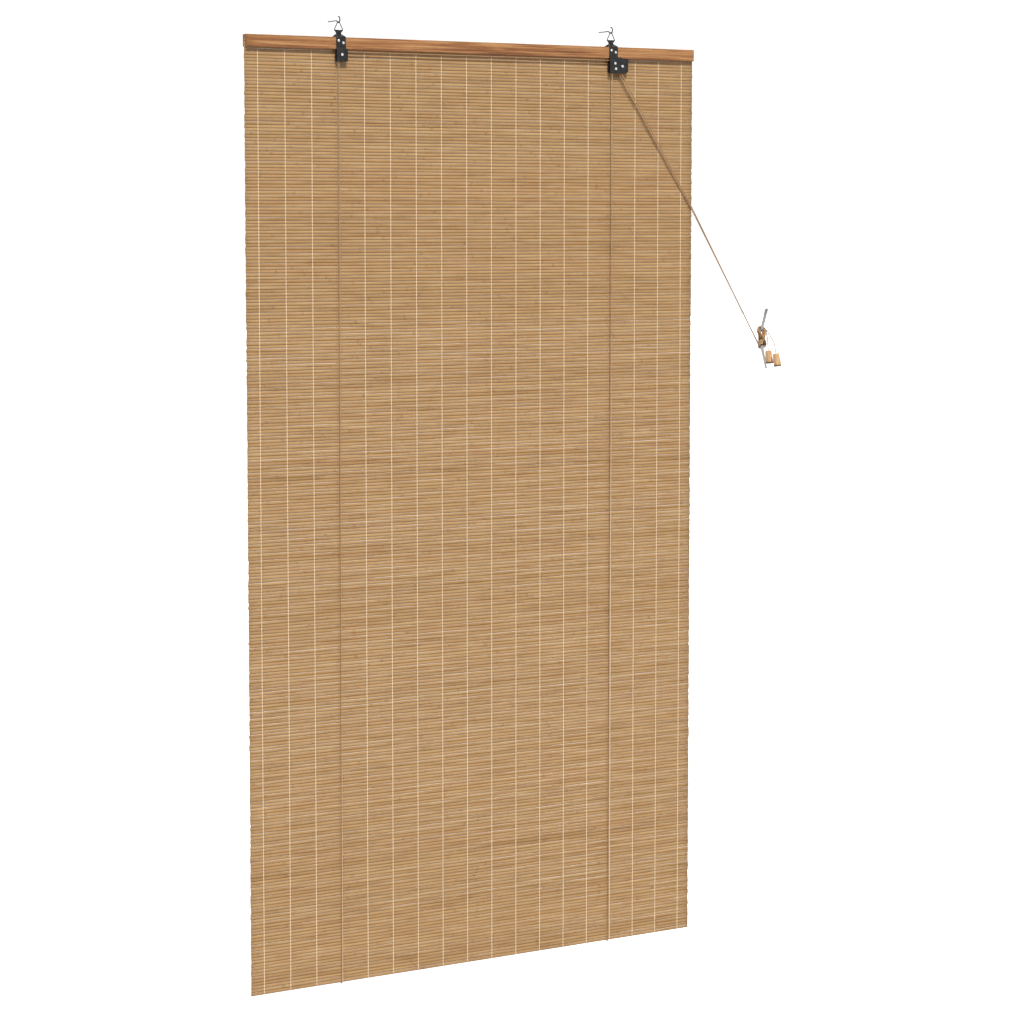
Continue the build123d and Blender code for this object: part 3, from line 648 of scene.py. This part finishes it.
for number, centre, axis in (
    (1, (0.85187, -0.01642, -0.80949), (-0.09, 0.04, 1)),
    (2, (0.85897, -0.04183, -0.81584), (-0.13, 0.08, 1)),
):
    node = f"knob_knot_{number}"
    knot(f"knob_tie_{number}", "wall_fixings", node, centre, axis, 4.4 * MM)

for name, points, node, length in (
    ("long_lift_line", long_lift_points, "long_lift_cord", 5.115),
    ("short_lift_line", short_lift_points, "short_lift_cord", 4.389),
):
    path = route(points)
    line = tube(name, "cord", "blind", path, CORD / 2)
    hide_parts(node)

for name, points, replaced, knob, length in (
    ("long_pull_line", long_pull_points, ("long_pull_cord", "knob_cord_1", "cord_wrap"), 1, 1.6227),
    ("short_pull_line", short_pull_points, ("short_pull_cord", "knob_cord_2"), 2, 1.672),
):
    path = route(points, 8)
    line = tube(name, "cord", None, path, CORD / 2)
    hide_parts(*replaced)
    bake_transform(line)


# ---- slats ----------------------------------------------------------------------------------
def slats(name, rows, stations=56):
    """Bamboo slats: an eight-sided lens section carried along x.

    A point is (x, middle + thickness * p + sway, row centre + width * q + wander). p and q are the
    section's corners, the front skin rounder than the back. Each slat has its own width, thickness
    and ends, and sway and wander are slow sines along it. The UV map is (metres along, a number
    for the row). slat_tone holds two random numbers for the row and q / 2 + 1 / 2.
    """
    front = [(-0.1, -1.0), (-0.72, -0.78), (-1.0, -0.2), (-0.92, 0.5), (-0.2, 1.0)]
    section = np.array(front + [(0.5, 0.96), (0.9, 0.0), (0.5, -0.96)])
    count = len(rows)
    sides = len(section)
    width = SLAT_WIDTH / 2 * rng.uniform(0.985, 1.006, (count, 1, 1))
    thickness = SLAT_THICKNESS / 2 * rng.uniform(0.82, 1.06, (count, 1, 1))
    half = mat_high[0] + rng.normal(0, 0.5 * MM, (count, 1, 2)).clip(-1.2 * MM, 1.0 * MM)
    share = np.linspace(-1, 1, stations)[None, :, None]
    x = np.where(share < 0, share * half[..., :1], share * half[..., 1:])
    phase = rng.uniform(0, 2 * math.pi, (count, 1, 4))
    slow = np.sin(np.array([13, 31, 9, 27]) * x + phase)
    wander = 0.07 * MM * slow[..., :1] + 0.04 * MM * slow[..., 1:2]
    sway = 0.14 * MM * slow[..., 2:3] + 0.08 * MM * slow[..., 3:]
    centre = mat_high[2] - CAD_SLAT_WIDTH / 2 - SLAT_PITCH * rows[:, None, None]
    points = np.empty((count, stations, sides, 3))
    points[..., 0] = x
    points[..., 1] = mat_y + sway + thickness * section[:, 0]
    points[..., 2] = centre + wander + width * section[:, 1]
    quads, caps = bundle(count, stations, sides)
    tone = np.repeat(rng.beta(2.2, 2.2, (count, 2)), stations * sides, axis=0)
    across = np.tile(section[:, 1] / 2 + 0.5, count * stations)
    lengthwise = points[..., 0] + rng.uniform(0, 40, (count, 1, 1))
    grain = np.stack(np.broadcast_arrays(lengthwise, rng.random((count, 1, 1))), axis=-1)
    grain = grain.reshape(-1, 2)[quads]
    obj = piece(name, "bamboo", "blind", points.reshape(-1, 3), quads, caps, grain)
    attribute = obj.data.color_attributes.new("slat_tone", "FLOAT_COLOR", "POINT")
    values = np.ones((len(tone), 4))
    values[:, :2] = tone
    # The third value, q / 2 + 1 / 2, places the painted edge shade across each slat.
    values[:, 2] = across
    attribute.data.foreach_set("color", values.ravel())
    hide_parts("bamboo_slats")
    return obj


slats("upper_slats", np.arange(0, ROWS // 2))
slats("lower_slats", np.arange(ROWS // 2, ROWS))


# ---- warp threads ---------------------------------------------------------------------------
def threads(name, xs, half_width=1.15 * MM, radius=0.5 * MM, sides=6):
    """Pairs of threads woven down the mat, one in front of a slat while the other is behind it.

    A strand at x0 is a flattened tube, half_width across and radius deep, with four rings a slat,
    at -0.42, -0.2, 0.2 and 0.42 of the pitch from its middle. side is 1 or -1 and changes from slat
    to slat. At the four rings the strand is side * (0.5, 1, 1, 0.5) * reach from the middle of the
    mat, and side * (-0.3, 0.1, 0.1, -0.3) mm across from x0.
    """
    rows = np.arange(HIDDEN_ROWS, ROWS)
    reach = SLAT_THICKNESS / 2 + radius * 0.95
    drop = np.array([-0.42, -0.2, 0.2, 0.42]) * SLAT_PITCH
    centre = mat_high[2] - CAD_SLAT_WIDTH / 2 - SLAT_PITCH * rows[:, None]
    z = (centre - drop).ravel()
    side = np.where(rows % 2, 1.0, -1.0)[:, None]
    lift = (side * np.array([0.5, 1.0, 1.0, 0.5])).ravel()
    lean = (side * np.array([-0.3, 0.1, 0.1, -0.3]) * MM).ravel()
    stations = len(z)
    angle = 2 * math.pi * np.arange(sides) / sides
    points = np.empty((len(xs) * 2, stations, sides, 3))
    x0 = np.repeat(xs, 2)[:, None, None]
    which = np.tile([1.0, -1.0], len(xs))[:, None, None]
    loose = rng.normal(0, 0.12 * MM, (len(xs) * 2, stations, 1))
    points[..., 0] = x0 + which * lean[None, :, None] + loose + half_width * np.cos(angle)
    points[..., 1] = mat_y + which * reach * lift[None, :, None] + radius * np.sin(angle)
    points[..., 2] = z[None, :, None]
    quads, caps = bundle(len(xs) * 2, stations, sides)
    around = np.broadcast_to(np.arange(sides) / sides, points.shape[:3])
    uv = np.stack([around, points[..., 2]], axis=-1).reshape(-1, 2)[quads]
    obj = piece(name, "warp_thread", "blind", points.reshape(-1, 3), quads, caps, uv)
    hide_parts("warp_threads")
    return obj


warp_xs = (np.arange(WARPS) - (WARPS - 1) / 2) * WARP_PITCH
for number, group in enumerate(np.split(warp_xs, 3), 1):
    threads(f"threads_{number}", group)


# ---- stage ----------------------------------------------------------------------------------
floor_mesh = bpy.data.meshes.new("floor")
floor_z = cad_box[0][2] - 0.3
corners = [(-40, -40, floor_z), (40, -40, floor_z), (40, 40, floor_z), (-40, 40, floor_z)]
floor_mesh.from_pydata(corners, [], [(0, 1, 2, 3)])
floor_finish = Finish("floor", Roughness=0.9, Emission_Color=(1.0, 1.0, 1.0), Emission_Strength=0.7)
floor_mesh.materials.append(floor_finish.surface(colour(246, 245, 243)))
floor = bpy.data.objects.new("floor", floor_mesh)
floor.visible_diffuse = False
scene.collection.objects.link(floor)

# The world lights the blind at 0.42. The camera and reflections see it at 1.1.
world = bpy.data.worlds.new("studio")
world.use_nodes = True
scene.world = world
nodes = world.node_tree.nodes
sky = nodes["Background"]
sky.inputs["Color"].default_value = (1.0, 0.995, 0.985, 1.0)
sky.inputs["Strength"].default_value = 0.42
seen = nodes.new("ShaderNodeBackground")
seen.inputs["Color"].default_value = (1.0, 1.0, 1.0, 1.0)
seen.inputs["Strength"].default_value = 1.1
ray = nodes.new("ShaderNodeLightPath")
choose = nodes.new("ShaderNodeMixShader")
either = nodes.new("ShaderNodeMath")
either.operation = "MAXIMUM"
for source, target in (
    (ray.outputs["Is Camera Ray"], either.inputs[0]),
    (ray.outputs["Is Glossy Ray"], either.inputs[1]),
    (either.outputs[0], choose.inputs[0]),
    (sky.outputs[0], choose.inputs[1]),
    (seen.outputs[0], choose.inputs[2]),
    (choose.outputs[0], nodes["World Output"].inputs[0]),
):
    world.node_tree.links.new(source, target)


def sun(name, strength, width, turn):
    """A sun lamp. width is the angle that it fills in the sky and turn its rotation, in degrees."""
    light = bpy.data.lights.new(name, "SUN")
    light.energy = strength
    light.angle = math.radians(width)
    lamp = bpy.data.objects.new(name, light)
    lamp.rotation_euler = [math.radians(angle) for angle in turn]
    scene.collection.objects.link(lamp)


sun("key", 2.85, 4.0, (45.9, 0.0, -14.0))
sun("back", 1.1, 20.0, (-62.0, 0.0, -20.0))

scene.view_settings.view_transform = "Standard"
scene.view_settings.look = "None"

bpy.context.view_layer.update()
